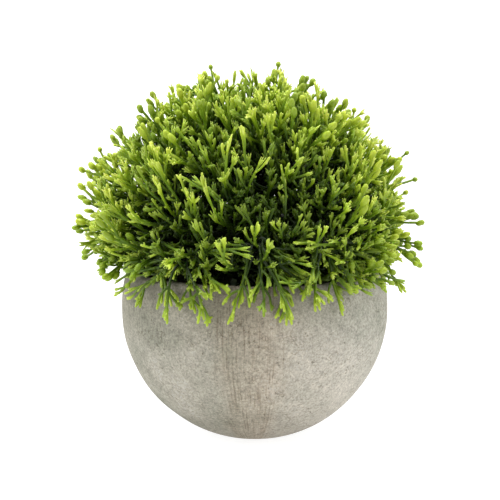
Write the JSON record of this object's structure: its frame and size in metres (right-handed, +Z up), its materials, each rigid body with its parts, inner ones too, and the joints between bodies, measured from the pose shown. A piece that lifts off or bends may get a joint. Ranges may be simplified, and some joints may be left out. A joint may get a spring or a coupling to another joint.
{
  "type": "artificial tabletop shrub in pot",
  "caption": "Small artificial shrub for a table: a dense dome of forked green plastic twigs in a round grey pulp pot with a flat base.",
  "frame": {"origin": "centre of the flat that the pot stands on", "axes": "+Z up through the middle of the pot and the dome; -Y is the front; +X is to the right seen from the front"},
  "size_m": [0.1214, 0.1217, 0.1381],
  "materials": {
    "pot_pulp": "matte",
    "foam": "matte",
    "stem_plastic": "satin",
    "leaf_plastic": "satin"
  },
  "bodies": {
    "pot": {"pot": "pot_pulp"},
    "plant": {"foam_block": "foam", "stake": "stem_plastic", "collar": "stem_plastic", "branch_stem_01": "stem_plastic", "branch_stem_02": "stem_plastic", "branch_stem_03": "stem_plastic", "branch_stem_04": "stem_plastic", "branch_stem_05": "stem_plastic", "branch_stem_06": "stem_plastic", "branch_stem_07": "stem_plastic", "branch_stem_08": "stem_plastic", "branch_stem_09": "stem_plastic", "branch_stem_10": "stem_plastic", "branch_stem_11": "stem_plastic", "branch_stem_12": "stem_plastic", "branch_stem_13": "stem_plastic", "spray_01": "leaf_plastic", "spray_02": "leaf_plastic", "spray_03": "leaf_plastic", "spray_04": "leaf_plastic", "spray_05": "leaf_plastic", "spray_06": "leaf_plastic", "spray_07": "leaf_plastic", "spray_08": "leaf_plastic", "spray_09": "leaf_plastic", "spray_10": "leaf_plastic", "spray_11": "leaf_plastic", "spray_12": "leaf_plastic", "spray_13": "leaf_plastic", "spray_14": "leaf_plastic", "spray_15": "leaf_plastic", "spray_16": "leaf_plastic", "spray_17": "leaf_plastic", "spray_18": "leaf_plastic", "spray_19": "leaf_plastic", "spray_20": "leaf_plastic", "spray_21": "leaf_plastic", "spray_22": "leaf_plastic", "spray_23": "leaf_plastic", "spray_24": "leaf_plastic", "spray_25": "leaf_plastic", "spray_26": "leaf_plastic", "spray_27": "leaf_plastic", "spray_28": "leaf_plastic", "spray_29": "leaf_plastic", "spray_30": "leaf_plastic", "spray_31": "leaf_plastic", "spray_32": "leaf_plastic", "spray_33": "leaf_plastic", "spray_34": "leaf_plastic", "spray_35": "leaf_plastic", "spray_36": "leaf_plastic", "spray_37": "leaf_plastic", "spray_38": "leaf_plastic", "spray_39": "leaf_plastic", "spray_40": "leaf_plastic", "spray_41": "leaf_plastic", "spray_42": "leaf_plastic", "spray_43": "leaf_plastic"}
  },
  "joints": [
    {"name": "plant_lift", "type": "slide", "parent": "pot", "child": "plant", "axis": [0, 0, 1], "range_m": [0, 0.08]}
  ]
}
